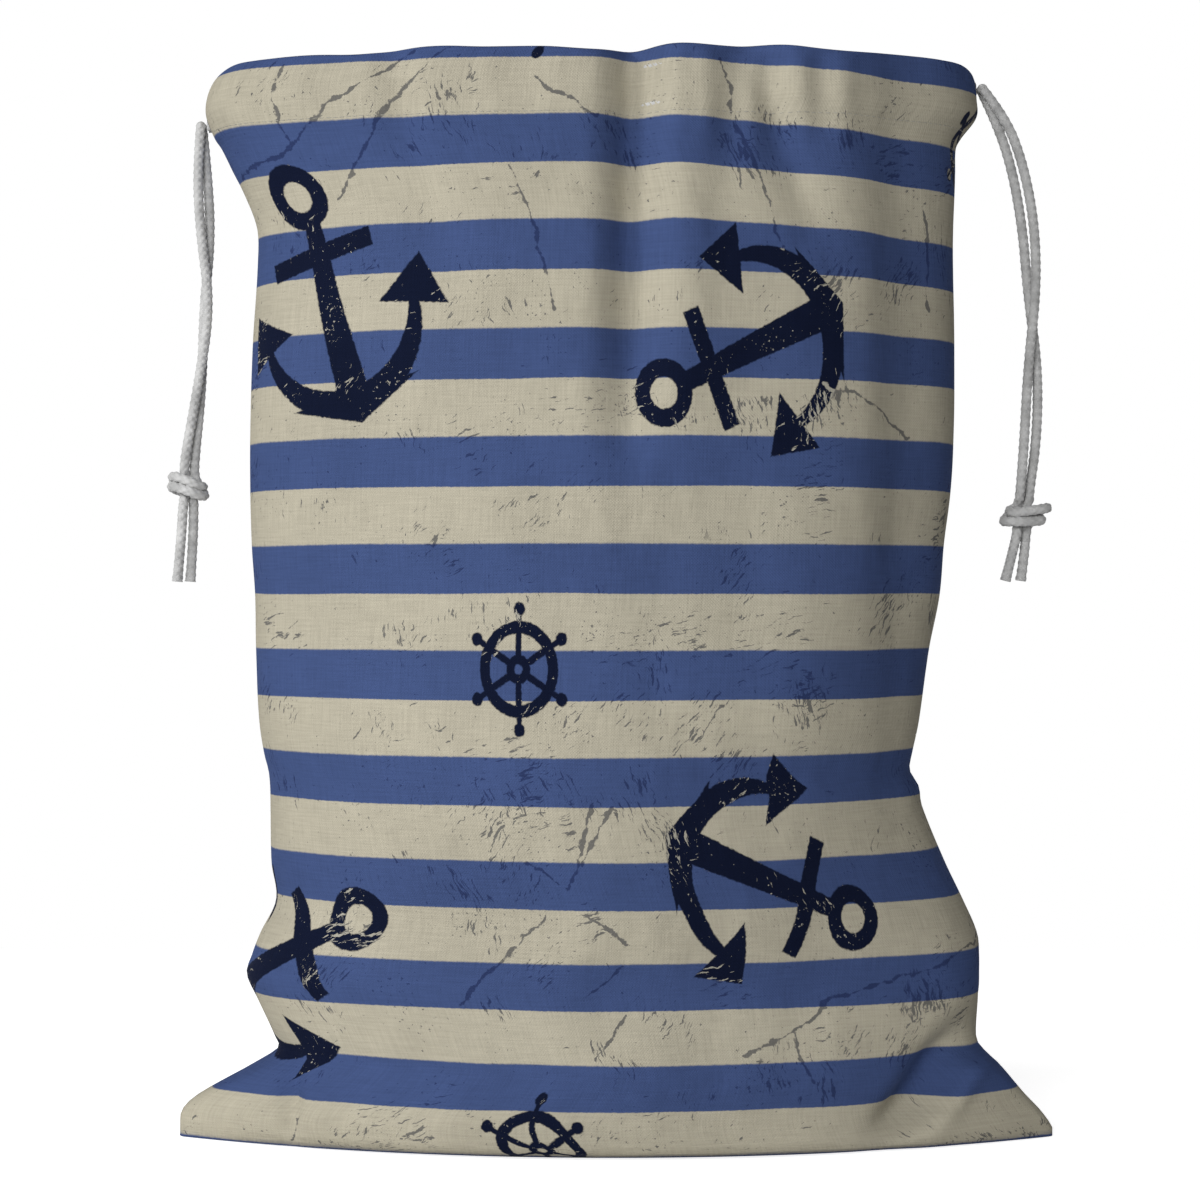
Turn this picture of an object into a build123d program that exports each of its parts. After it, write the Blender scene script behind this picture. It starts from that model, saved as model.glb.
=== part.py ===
from build123d import *
import os
from collections import namedtuple
from math import asin, atan2, cos, degrees, radians, sin, tan

os.makedirs("parts", exist_ok=True)

# A drawstring mail sack of woven cloth, standing open. Millimetres, +Z up, +X to the right of its front,
# -Y towards its front. The origin is the middle of the base, on the floor.

# Sack cloth
mouth_height = 610.0         # rim above the floor
flat_width = 500.0           # bottom seam, from corner to corner
cloth = 1.0                  # thickness of the cloth
fit_gap = 0.2                # between pieces sewn face to face

# Casing, the hem that holds the drawcords
casing_height = 40.0
channel_depth = 7.5          # room for a cord between the wall and the hem

# Drawcords
cord_diameter = 5.5
strand_gap = 0.5             # between the two strands that leave one side, front to back
left_cord_drop = 32.0        # from the rim down to the cord that leaves at the left side
right_cord_drop = 10.5       # and to the one that leaves at the right side
bend_radius = 5.5            # fold of a cord where it turns out of the casing
exit_stub = 1.4              # straight end of a cord outside the wall
swing_gap = 0.3              # between the held cord's end and the strand that swings at it

# Openings in the side seams, where the drawcords leave
exit_width = 14.0
exit_margin = 1.75           # above and below the cord
tack_width = 2.0             # bar tack beside the opening
tack_thickness = 0.8

# Seam allowances and thread
seam_width = 10.0
seam_thickness = 2.0
stitch_length = 7.0
stitch_pitch = 10.0
thread = 0.6
stitch_inset = 3.0           # from the edge that a row of stitches follows

cord_radius = cord_diameter / 2
strand_pitch = cord_diameter + strand_gap
casing_foot = mouth_height - casing_height
opening_height = cord_diameter + 2 * exit_margin
opening_reach = 4 * cloth      # how far the opening is cut in and out from the outside of the wall
left_cord_height = mouth_height - left_cord_drop
right_cord_height = mouth_height - right_cord_drop

# The outline at chosen heights. height is a share of the wall below the casing and half_width a share of
# half the flat width; lean is where the middle of the outline lies along X.
Outline = namedtuple("Outline", "height lean half_width half_depth side_radius")
outlines = [
    Outline(0.000, 0.0, 1.000, 80.0, 6.0),
    Outline(0.040, 1.0, 0.950, 90.0, 14.0),
    Outline(0.088, 9.0, 0.820, 97.0, 48.0),
    Outline(0.185, -1.0, 0.838, 101.0, 60.0),
    Outline(0.285, -9.0, 0.780, 118.0, 68.0),
    Outline(0.372, -15.0, 0.740, 127.0, 74.0),
    Outline(0.520, -11.0, 0.788, 119.0, 68.0),
    Outline(0.690, -8.0, 0.806, 112.0, 62.0),
    Outline(0.870, -6.0, 0.800, 111.0, 60.0),
    Outline(1.000, -14.0, 0.876, 87.0, 55.0),
]
mouth = outlines[-1]


def half_width_of(outline):
    """Half the width of the sack at one outline."""
    return outline.half_width * flat_width / 2


def side_arc_degrees(outline):
    """How far round the side the small arc runs before the long front arc takes over."""
    reach = half_width_of(outline) - outline.side_radius
    depth = outline.half_depth - outline.side_radius
    front_centre = (reach**2 - depth**2) / (2 * depth)
    return degrees(atan2(front_centre, reach))


def front_arc_radius(outline):
    """Radius of the long arc across the front."""
    reach = half_width_of(outline) - outline.side_radius
    depth = outline.half_depth - outline.side_radius
    return outline.half_depth + (reach**2 - depth**2) / (2 * depth)


def half_outline(outline, z, inset=0.0):
    """The front half of an outline as a face at height z: a side arc, the front arc, a side arc, a chord."""
    half_width = half_width_of(outline) - inset
    small = outline.side_radius - inset
    large = front_arc_radius(outline) - inset
    turn = side_arc_degrees(outline)
    reach = half_width - small
    front_centre = front_arc_radius(outline) - outline.half_depth
    with BuildSketch(Plane.XY.offset(z)) as sketch:
        with BuildLine():
            CenterArc((outline.lean - reach, 0), small, 180, turn)
            CenterArc((outline.lean, front_centre), large, 180 + turn, 180 - 2 * turn)
            CenterArc((outline.lean + reach, 0), small, 360 - turn, turn)
            Line((outline.lean + half_width, 0), (outline.lean - half_width, 0))
        make_face()
    return sketch.sketch


def side_x(z, side):
    """Where the outside of the sack lies at height z, on the left (side -1) or the right (side 1)."""
    heights = [outline.height * casing_foot for outline in outlines]
    edges = [outline.lean + side * half_width_of(outline) for outline in outlines]
    for low, high, start, end in zip(heights, heights[1:], edges, edges[1:]):
        if z <= high:
            return start + (end - start) * (z - low) / (high - low)
    return edges[-1]


def exit_point(side):
    """Where the strands of one side are hung: just outside the opening in the side seam."""
    height = left_cord_height if side < 0 else right_cord_height
    wall = side_x(height, side)
    return Vector(wall + side * (exit_stub + swing_gap + cord_radius), 0, height)


# Cloth panels: outside loft less inside loft, and the wall beside the casing
outside = [half_outline(o, o.height * casing_foot) for o in outlines]
inside = [half_outline(o, max(o.height * casing_foot, cloth), cloth) for o in outlines]

with BuildPart() as front_panel:
    loft(sections=[sketch.face() for sketch in outside], ruled=True)
    loft(sections=[sketch.face() for sketch in inside], ruled=True, mode=Mode.SUBTRACT)
    with BuildSketch(Plane.XY.offset(casing_foot)):
        add(half_outline(mouth, 0))
        add(half_outline(mouth, 0, cloth), mode=Mode.SUBTRACT)
    extrude(amount=casing_height)
    for side, height in ((-1, left_cord_height), (1, right_cord_height)):
        with Locations((side_x(height, side), 0, height)):
            Box(opening_reach, exit_width, opening_height, mode=Mode.SUBTRACT)

with BuildPart() as back_panel:
    mirror(front_panel.part, about=Plane.XZ)

# Casing: the hem turned in at the mouth, a channel that opens towards the wall
hem_outside = cloth + fit_gap
hem_inside = cloth + channel_depth

with BuildPart() as front_casing:
    with BuildSketch(Plane.XY.offset(casing_foot)):
        add(half_outline(mouth, 0, hem_outside))
        add(half_outline(mouth, 0, hem_inside + cloth), mode=Mode.SUBTRACT)
    extrude(amount=casing_height)
    with BuildSketch(Plane.XY.offset(casing_foot + cloth)):
        add(half_outline(mouth, 0, hem_outside))
        add(half_outline(mouth, 0, hem_inside), mode=Mode.SUBTRACT)
    extrude(amount=casing_height - 2 * cloth, mode=Mode.SUBTRACT)

with BuildPart() as back_casing:
    mirror(front_casing.part, about=Plane.XZ)

# Seam allowances inside: one strip up each side and one along the base, in the plane between the panels
seam_edge = cloth + fit_gap
bottom_seam_top = seam_edge + seam_width
side_seam_foot = bottom_seam_top + fit_gap
side_seam_top = casing_foot - fit_gap


def seam_heights():
    """The heights at which the side seams bend."""
    bends = [o.height * casing_foot for o in outlines]
    return [side_seam_foot] + [z for z in bends if side_seam_foot < z < side_seam_top] + [side_seam_top]


def side_seam_outline(side):
    """The strip of one side seam, as points up its outer edge and down its inner edge."""
    outer = [(side_x(z, side) - side * seam_edge, z) for z in seam_heights()]
    inner = [(x - side * seam_width, z) for x, z in reversed(outer)]
    return outer + inner


with BuildPart() as left_side_seam:
    with BuildSketch(Plane.XZ):
        with BuildLine():
            Polyline(*side_seam_outline(-1), close=True)
        make_face()
    extrude(amount=seam_thickness / 2, both=True)

with BuildPart() as right_side_seam:
    with BuildSketch(Plane.XZ):
        with BuildLine():
            Polyline(*side_seam_outline(1), close=True)
        make_face()
    extrude(amount=seam_thickness / 2, both=True)

with BuildPart() as bottom_seam:
    with BuildSketch(Plane.XZ):
        with BuildLine():
            Polyline(
                (side_x(seam_edge, -1) + seam_edge, seam_edge),
                (side_x(seam_edge, 1) - seam_edge, seam_edge),
                (side_x(bottom_seam_top, 1) - 2 * seam_edge, bottom_seam_top),
                (side_x(bottom_seam_top, -1) + 2 * seam_edge, bottom_seam_top),
                close=True,
            )
        make_face()
    extrude(amount=seam_thickness / 2, both=True)

# Thread: rows of stitches on the front of each seam allowance and round the outside of the casing's foot
stitch_off = (seam_thickness + thread) / 2 + fit_gap / 2


def side_stitches(side):
    """Places of one side seam's stitches, each turned to follow the edge of the sack."""
    places = []
    z = side_seam_foot + stitch_pitch
    while z < side_seam_top - stitch_length:
        lean = degrees(atan2(side_x(z + stitch_length / 2, side) - side_x(z - stitch_length / 2, side),
                             stitch_length))
        x = side_x(z, side) - side * (seam_edge + stitch_inset)
        places.append(Location((x, -stitch_off, z), (0, lean, 0)))
        z += stitch_pitch
    return places


def casing_stitches():
    """Places of the stitches round the front half of the casing's foot, on the outside of the wall."""
    radius = front_arc_radius(mouth) + fit_gap / 2 + thread / 2
    centre_y = front_arc_radius(mouth) - mouth.half_depth
    span = 180 - 2 * side_arc_degrees(mouth)
    count = int(radians(span) * radius / stitch_pitch)
    places = []
    for number in range(count):
        angle = 270 + span * ((number + 0.5) / count - 0.5)
        x = mouth.lean + radius * cos(radians(angle))
        y = centre_y + radius * sin(radians(angle))
        places.append(Location((x, y, casing_foot + stitch_inset), (0, 0, angle - 270)))
    return places


with BuildPart() as left_seam_stitches:
    with Locations(*side_stitches(-1)):
        Box(thread, thread, stitch_length)

with BuildPart() as right_seam_stitches:
    with Locations(*side_stitches(1)):
        Box(thread, thread, stitch_length)

bottom_row = flat_width - 4 * seam_width
bottom_count = int(bottom_row / stitch_pitch)

with BuildPart() as bottom_seam_stitches:
    with Locations((0, -stitch_off, seam_edge + stitch_inset)):
        with GridLocations(stitch_pitch, 1, bottom_count, 1):
            Box(stitch_length, thread, thread)

with BuildPart() as front_casing_stitches:
    with Locations(*casing_stitches()):
        Box(stitch_length, thread, thread)

with BuildPart() as back_casing_stitches:
    mirror(front_casing_stitches.part, about=Plane.XZ)

# Bar tacks: dense stitching up both sides of each opening
tack_y = exit_width / 2 + tack_width


def tack_places(side, height):
    """Places of the two bar tacks of one opening, flat on the side of the sack."""
    small = mouth.side_radius + fit_gap + tack_thickness / 2
    centre_x = mouth.lean + side * (half_width_of(mouth) - mouth.side_radius)
    turn = degrees(asin(tack_y / small))
    along = [turn, -turn] if side > 0 else [180 - turn, 180 + turn]
    return [
        Location((centre_x + small * cos(radians(a)), small * sin(radians(a)), height), (0, 0, a))
        for a in along
    ]


with BuildPart() as left_bar_tacks:
    with Locations(*tack_places(-1, left_cord_height)):
        Box(tack_thickness, tack_width, opening_height)

with BuildPart() as right_bar_tacks:
    with Locations(*tack_places(1, right_cord_height)):
        Box(tack_thickness, tack_width, opening_height)


# Drawcords inside the casing: out of one side, all the way round the mouth, and out of the same side
def casing_path(height, side):
    """Middle line of a held cord, as straight ends and tangent arcs that follow the middle of the channel."""
    inset = cloth + channel_depth / 2
    small = mouth.side_radius - inset
    large = front_arc_radius(mouth) - inset
    turn = side_arc_degrees(mouth)
    skipped = degrees(asin((bend_radius + strand_pitch / 2) / (small + bend_radius)))
    start_x = mouth.lean - half_width_of(mouth) - exit_stub
    reach = half_width_of(mouth) - mouth.side_radius
    bend_x = mouth.lean - reach - (small + bend_radius) * cos(radians(skipped))
    with BuildLine(Plane.XY.offset(height)) as path:
        stub = Line((start_x, -strand_pitch / 2), (bend_x, -strand_pitch / 2))
        fold = JernArc(stub @ 1, stub % 1, bend_radius, -(90 - skipped))
        near = JernArc(fold @ 1, fold % 1, small, turn - skipped)
        front = JernArc(near @ 1, near % 1, large, 180 - 2 * turn)
        far = JernArc(front @ 1, front % 1, small, 2 * turn)
        back = JernArc(far @ 1, far % 1, large, 180 - 2 * turn)
        last = JernArc(back @ 1, back % 1, small, turn - skipped)
        unfold = JernArc(last @ 1, last % 1, bend_radius, -(90 - skipped))
        Line(unfold @ 1, (start_x, strand_pitch / 2))
    wire = path.wire()
    if side > 0:
        wire = mirror(wire, about=Plane.YZ.offset(mouth.lean))
    return wire


left_path = casing_path(left_cord_height, -1)
right_path = casing_path(right_cord_height, 1)

with BuildPart() as left_drawcord_run:
    with BuildSketch(Plane(left_path @ 0, z_dir=left_path % 0)):
        Circle(cord_radius)
    sweep(path=left_path)

with BuildPart() as right_drawcord_run:
    with BuildSketch(Plane(right_path @ 0, z_dir=right_path % 0)):
        Circle(cord_radius)
    sweep(path=right_path)

# Free strands and tails. Each route is a list of places (x, z), measured from the exit that the strand hangs
# from, in a plane of its own, front or back.
left_exit = exit_point(-1)
right_exit = exit_point(1)

left_front_route = [(0, 0), (-2.15, -25), (-0.35, -61), (5.45, -103), (-1.95, -151), (-10.15, -195)]
left_back_route = [(0, 0), (3.05, -28), (4.85, -64), (0.85, -104), (-0.15, -148), (-4.95, -195)]
right_front_route = [(0, 0), (13.15, -16.5), (22.95, -41.5), (29.75, -75.5), (31.15, -113.5), (26.15, -159.5),
                     (24.15, -199.5), (21.75, -231.5)]
right_back_route = [(0, 0), (8.15, -16.5), (17.55, -43.5), (23.95, -79.5), (26.95, -117.5), (32.75, -159.5),
                    (32.15, -199.5), (27.55, -231.5)]

knot_gap = 0.8               # between a knot and the strands and tails that meet it
left_knot_width = 21.0
left_knot_height = 18.0
right_knot_width = 27.0
right_knot_height = 21.0
knot_depth = 15.0
knot_flat = 0.5              # left straight at the middle of a knot's sides
knot_round = 2.0             # rounding of a knot's top and foot
arc_share = 0.45             # share of the shorter run beside a bend that its arc takes up
tail_bow = 0.6               # how far the middle of a tail stands to the right of a straight line


def strand_path(route, exit_place, side_y):
    """Straight runs joined by arcs as large as the runs allow, in the plane at side_y."""
    points = [Vector(exit_place.X + x, side_y, exit_place.Z + z) for x, z in route]
    corner_radii = []
    for before, corner, after in zip(points, points[1:], points[2:]):
        turn = (corner - before).get_angle(after - corner)
        shorter = min((corner - before).length, (after - corner).length)
        corner_radii.append(arc_share * shorter / tan(radians(turn / 2)))
    with BuildLine() as path:
        FilletPolyline(*points, radius=corner_radii)
    return path.wire(), corner_radii


def tail_route(strand_route, knot_height, end_x, end_z):
    """A tail's route: out of the knot below its strand, then down to the cut end."""
    top_x, knot_top = strand_route[-1]
    knot_foot = knot_top - 2 * knot_gap - knot_height
    middle = (top_x + end_x) / 2 + tail_bow
    return [(top_x, knot_foot), (middle, (knot_foot + end_z) / 2), (end_x, end_z)]


left_front_tail_route = tail_route(left_front_route, left_knot_height, -13.55, -260.5)
left_back_tail_route = tail_route(left_back_route, left_knot_height, -6.95, -260.5)
right_front_tail_route = tail_route(right_front_route, right_knot_height, 13.15, -281.5)
right_back_tail_route = tail_route(right_back_route, right_knot_height, 22.75, -281.5)

front_y = -strand_pitch / 2
back_y = strand_pitch / 2

paths = {}
for name, route, exit_place, side_y in (
    ("left_front_strand", left_front_route, left_exit, front_y),
    ("left_back_strand", left_back_route, left_exit, back_y),
    ("right_front_strand", right_front_route, right_exit, front_y),
    ("right_back_strand", right_back_route, right_exit, back_y),
    ("left_front_tail", left_front_tail_route, left_exit, front_y),
    ("left_back_tail", left_back_tail_route, left_exit, back_y),
    ("right_front_tail", right_front_tail_route, right_exit, front_y),
    ("right_back_tail", right_back_tail_route, right_exit, back_y),
):
    paths[name], bends = strand_path(route, exit_place, side_y)
    print(name, "length", round(paths[name].length, 1), "radii", [round(r) for r in bends])

with BuildPart() as left_front_strand:
    with BuildSketch(Plane(paths["left_front_strand"] @ 0, z_dir=paths["left_front_strand"] % 0)):
        Circle(cord_radius)
    sweep(path=paths["left_front_strand"])

with BuildPart() as left_back_strand:
    with BuildSketch(Plane(paths["left_back_strand"] @ 0, z_dir=paths["left_back_strand"] % 0)):
        Circle(cord_radius)
    sweep(path=paths["left_back_strand"])

with BuildPart() as right_front_strand:
    with BuildSketch(Plane(paths["right_front_strand"] @ 0, z_dir=paths["right_front_strand"] % 0)):
        Circle(cord_radius)
    sweep(path=paths["right_front_strand"])

with BuildPart() as right_back_strand:
    with BuildSketch(Plane(paths["right_back_strand"] @ 0, z_dir=paths["right_back_strand"] % 0)):
        Circle(cord_radius)
    sweep(path=paths["right_back_strand"])

with BuildPart() as left_front_tail:
    with BuildSketch(Plane(paths["left_front_tail"] @ 0, z_dir=paths["left_front_tail"] % 0)):
        Circle(cord_radius)
    sweep(path=paths["left_front_tail"])

with BuildPart() as left_back_tail:
    with BuildSketch(Plane(paths["left_back_tail"] @ 0, z_dir=paths["left_back_tail"] % 0)):
        Circle(cord_radius)
    sweep(path=paths["left_back_tail"])

with BuildPart() as right_front_tail:
    with BuildSketch(Plane(paths["right_front_tail"] @ 0, z_dir=paths["right_front_tail"] % 0)):
        Circle(cord_radius)
    sweep(path=paths["right_front_tail"])

with BuildPart() as right_back_tail:
    with BuildSketch(Plane(paths["right_back_tail"] @ 0, z_dir=paths["right_back_tail"] % 0)):
        Circle(cord_radius)
    sweep(path=paths["right_back_tail"])

# Knots: the outer shape of the overhand knot that joins the two strands of one side
left_knot_x = left_exit.X + (left_front_route[-1][0] + left_back_route[-1][0]) / 2
left_knot_top = left_exit.Z + left_front_route[-1][1] - knot_gap
right_knot_x = right_exit.X + (right_front_route[-1][0] + right_back_route[-1][0]) / 2
right_knot_top = right_exit.Z + right_front_route[-1][1] - knot_gap

with BuildPart() as left_knot:
    with BuildSketch(Plane.XY.offset(left_knot_top)):
        with Locations((left_knot_x, 0)):
            RectangleRounded(left_knot_width, knot_depth, knot_depth / 2 - knot_flat)
    extrude(amount=-left_knot_height)
    fillet(left_knot.faces().filter_by(Axis.Z).edges(), radius=knot_round)

with BuildPart() as right_knot:
    with BuildSketch(Plane.XY.offset(right_knot_top)):
        with Locations((right_knot_x, 0)):
            RectangleRounded(right_knot_width, knot_depth, knot_depth / 2 - knot_flat)
    extrude(amount=-right_knot_height)
    fillet(right_knot.faces().filter_by(Axis.Z).edges(), radius=knot_round)

pieces = {
    "front_panel": front_panel,
    "back_panel": back_panel,
    "front_casing": front_casing,
    "back_casing": back_casing,
    "left_side_seam": left_side_seam,
    "right_side_seam": right_side_seam,
    "bottom_seam": bottom_seam,
    "left_seam_stitches": left_seam_stitches,
    "right_seam_stitches": right_seam_stitches,
    "bottom_seam_stitches": bottom_seam_stitches,
    "front_casing_stitches": front_casing_stitches,
    "back_casing_stitches": back_casing_stitches,
    "left_bar_tacks": left_bar_tacks,
    "right_bar_tacks": right_bar_tacks,
    "left_drawcord_run": left_drawcord_run,
    "right_drawcord_run": right_drawcord_run,
    "left_front_strand": left_front_strand,
    "left_back_strand": left_back_strand,
    "right_front_strand": right_front_strand,
    "right_back_strand": right_back_strand,
    "left_knot": left_knot,
    "right_knot": right_knot,
    "left_front_tail": left_front_tail,
    "left_back_tail": left_back_tail,
    "right_front_tail": right_front_tail,
    "right_back_tail": right_back_tail,
}
for name, piece in pieces.items():
    piece.part.label = name
    export_step(piece.part, f"parts/{name}.step")
    if "strand" in name or "tail" in name or "run" in name:
        print(name, "volume", round(piece.part.volume, 1))

print("swing joints at", left_exit, right_exit)
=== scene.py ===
import bpy
import bmesh
from math import atan2, cos, floor, pi, radians, sin, sqrt
from mathutils import Matrix, Vector, noise


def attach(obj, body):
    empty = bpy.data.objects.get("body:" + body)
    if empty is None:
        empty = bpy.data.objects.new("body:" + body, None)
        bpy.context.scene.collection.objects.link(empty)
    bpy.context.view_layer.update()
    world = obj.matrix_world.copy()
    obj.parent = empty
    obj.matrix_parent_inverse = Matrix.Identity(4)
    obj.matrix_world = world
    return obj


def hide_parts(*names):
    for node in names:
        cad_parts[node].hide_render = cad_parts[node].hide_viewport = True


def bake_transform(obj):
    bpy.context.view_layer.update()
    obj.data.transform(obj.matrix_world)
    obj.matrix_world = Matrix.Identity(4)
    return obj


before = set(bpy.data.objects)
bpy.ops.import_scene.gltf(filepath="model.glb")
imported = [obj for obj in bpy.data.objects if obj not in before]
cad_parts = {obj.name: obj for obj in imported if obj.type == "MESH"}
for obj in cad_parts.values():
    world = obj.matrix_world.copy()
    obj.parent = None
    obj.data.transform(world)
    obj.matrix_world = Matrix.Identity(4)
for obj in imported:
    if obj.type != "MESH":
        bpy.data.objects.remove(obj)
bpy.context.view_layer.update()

scene = bpy.context.scene
scene.view_settings.view_transform = "Standard"

# ----------------------------------
# The view: level with the middle of the sack and square to its front.
# ----------------------------------
VIEW_DISTANCE = 1.70
VIEW_ACROSS = 0.6876            # width of the view at the middle of the sack
VIEW_MIDDLE_X, VIEW_MIDDLE_Z = -0.0092, 0.307
SENSOR_WIDTH = 36.0
camera_data = bpy.data.cameras.new("camera")
camera_data.sensor_width = SENSOR_WIDTH
camera_data.lens = SENSOR_WIDTH * VIEW_DISTANCE / VIEW_ACROSS
camera = bpy.data.objects.new("camera", camera_data)
camera.location = (VIEW_MIDDLE_X, -VIEW_DISTANCE, VIEW_MIDDLE_Z)
camera.rotation_euler = (radians(90), 0, 0)
scene.collection.objects.link(camera)
scene.camera = camera


# ----------------------------------
# Drawcords: white cotton, braided round a soft core. Each cord comes out of the casing as two strands, which
# are tied to each other in one overhand knot and cut square below it. All lengths are in metres.
# ----------------------------------
CORD_DIAMETER = 0.0055
STRAND_SIDE = 0.003             # each strand lies this far in front of or behind the side seam
CELLS_AROUND = 4                # plaits of the braid round the cord
CELL_LENGTH = 0.0044            # and along it
STEPS_PER_CELL = 8
PLAIT_DIP = 0.55                # how much lower a plait is at its ends
PLAIT_FOOT, PLAIT_RISE = 0.80, 0.28     # shares of the radius: the gap between plaits, and how far one rises
END_FLARE, FLARE_LENGTH = 0.12, 0.012   # the cut end spreads a little
DOME_STEPS = (0.5, 0.8, 0.95, 0.995)
LEFT_EXIT = (-0.23745, 0.578)
RIGHT_EXIT = (0.20945, 0.5995)

ROUTES = {
    "left_front": [LEFT_EXIT, (-0.2396, 0.553), (-0.2378, 0.517), (-0.2320, 0.475), (-0.2394, 0.427),
                   (-0.2476, 0.383)],
    "left_back": [LEFT_EXIT, (-0.2344, 0.550), (-0.2326, 0.514), (-0.2366, 0.474), (-0.2376, 0.430),
                  (-0.2424, 0.383)],
    "right_front": [RIGHT_EXIT, (0.2226, 0.583), (0.2324, 0.558), (0.2392, 0.524), (0.2406, 0.486),
                    (0.2356, 0.440), (0.2336, 0.400), (0.2312, 0.368)],
    "right_back": [RIGHT_EXIT, (0.2176, 0.583), (0.2270, 0.556), (0.2334, 0.520), (0.2364, 0.482),
                   (0.2422, 0.440), (0.2416, 0.400), (0.2370, 0.368)],
}
# inside the knots, from the knot's middle: down behind, round to the front, across it, round the back and
# down through the turn
KNOTS = {
    "left_front": ((-0.2450, 0.3725), [(-0.0015, 0.0020, 0.0045), (0.0035, 0.0040, 0.0010),
                   (0.0088, 0.0015, -0.0010), (0.0078, -0.0062, -0.0005), (-0.0005, -0.0078, 0.0030),
                   (-0.0085, -0.0048, 0.0058), (-0.0092, 0.0030, 0.0035), (-0.0035, 0.0062, 0.0005),
                   (-0.0022, 0.0022, -0.0050)]),
    "left_back": ((-0.2450, 0.3725), [(0.0036, 0.0018, 0.0040), (0.0066, 0.0034, -0.0025),
                  (0.0100, -0.0010, -0.0062), (0.0070, -0.0072, -0.0058), (-0.0008, -0.0080, -0.0026),
                  (-0.0092, -0.0050, 0.0000), (-0.0095, 0.0032, -0.0015), (-0.0030, 0.0066, -0.0038),
                  (0.0024, 0.0026, -0.0056)]),
    "right_front": ((0.2340, 0.3565), [(-0.0030, 0.0020, 0.0060), (-0.0060, 0.0050, 0.0015),
                    (-0.0118, 0.0020, -0.0040), (-0.0120, -0.0060, -0.0048), (-0.0020, -0.0085, -0.0048),
                    (0.0080, -0.0062, -0.0045), (0.0105, 0.0020, -0.0030), (0.0030, 0.0070, -0.0020),
                    (-0.0040, 0.0026, -0.0070)]),
    "right_back": ((0.2340, 0.3565), [(0.0030, 0.0020, 0.0060), (-0.0020, 0.0060, 0.0036),
                   (-0.0088, 0.0030, 0.0020), (-0.0080, -0.0060, 0.0002), (0.0010, -0.0085, 0.0012),
                   (0.0118, -0.0060, 0.0030), (0.0135, 0.0020, 0.0034), (0.0060, 0.0072, 0.0010),
                   (0.0020, 0.0028, -0.0070)]),
}
TAILS = {
    "left_front": [(-0.2476, 0.3620), (-0.2489, 0.3400), (-0.2510, 0.3175)],
    "left_back": [(-0.2424, 0.3620), (-0.2428, 0.3400), (-0.2444, 0.3175)],
    "right_front": [(0.2294, 0.3450), (0.2262, 0.3320), (0.2226, 0.3180)],
    "right_back": [(0.2352, 0.3450), (0.2342, 0.3320), (0.2322, 0.3180)],
}


def cord_line(name):
    """The smooth middle line of one strand, from the casing to its cut end, as a list of points."""
    side_y = -STRAND_SIDE if name.endswith("front") else STRAND_SIDE
    (knot_x, knot_z), turns = KNOTS[name]
    points = [(x, side_y, z) for x, z in ROUTES[name]]
    points += [(knot_x + x, y, knot_z + z) for x, y, z in turns]
    points += [(x, side_y, z) for x, z in TAILS[name]]
    curve = bpy.data.curves.new(name + "_line", "CURVE")
    curve.dimensions = "3D"
    curve.resolution_u = 24
    spline = curve.splines.new("NURBS")
    spline.points.add(len(points) - 1)
    for point, place in zip(spline.points, points):
        point.co = (*place, 1.0)
    spline.order_u = 3
    spline.use_endpoint_u = True
    holder = bpy.data.objects.new(name + "_line", curve)
    scene.collection.objects.link(holder)
    line_mesh = bpy.data.meshes.new_from_object(holder)
    line = [vertex.co.copy() for vertex in line_mesh.vertices]
    bpy.data.meshes.remove(line_mesh)
    bpy.data.objects.remove(holder)
    bpy.data.curves.remove(curve)
    return line


def evenly(line, step):
    """Places along a line at an even spacing, each with its direction."""
    lengths = [0.0]
    for a, b in zip(line, line[1:]):
        lengths.append(lengths[-1] + (b - a).length)
    count = max(2, round(lengths[-1] / step))
    places = []
    index = 0
    for number in range(count + 1):
        target = lengths[-1] * number / count
        while index < len(line) - 2 and lengths[index + 1] < target:
            index += 1
        span = max(lengths[index + 1] - lengths[index], 1e-9)
        share = (target - lengths[index]) / span
        places.append((line[index].lerp(line[index + 1], share), (line[index + 1] - line[index]).normalized()))
    return places, lengths[-1]


def braid_height(around, along):
    """How far a plait stands out: 0 in the gap between plaits, 1 on its crown."""
    first = around * CELLS_AROUND + along / CELL_LENGTH
    second = around * CELLS_AROUND - along / CELL_LENGTH
    across, lengthwise = first - floor(first), second - floor(second)
    if (floor(first) + floor(second)) % 2:
        across, lengthwise = lengthwise, across
    return sqrt(max(0.0, 1 - (2 * across - 1) ** 2)) * (1 - PLAIT_DIP * (2 * lengthwise - 1) ** 2)


def new_piece(shape, name, smooth=True):
    """A piece in the scene, made from a finished mesh."""
    mesh = bpy.data.meshes.new(name)
    shape.to_mesh(mesh)
    shape.free()
    mesh.polygons.foreach_set("use_smooth", [smooth] * len(mesh.polygons))
    piece = bpy.data.objects.new(name, mesh)
    scene.collection.objects.link(piece)
    return piece


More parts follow.
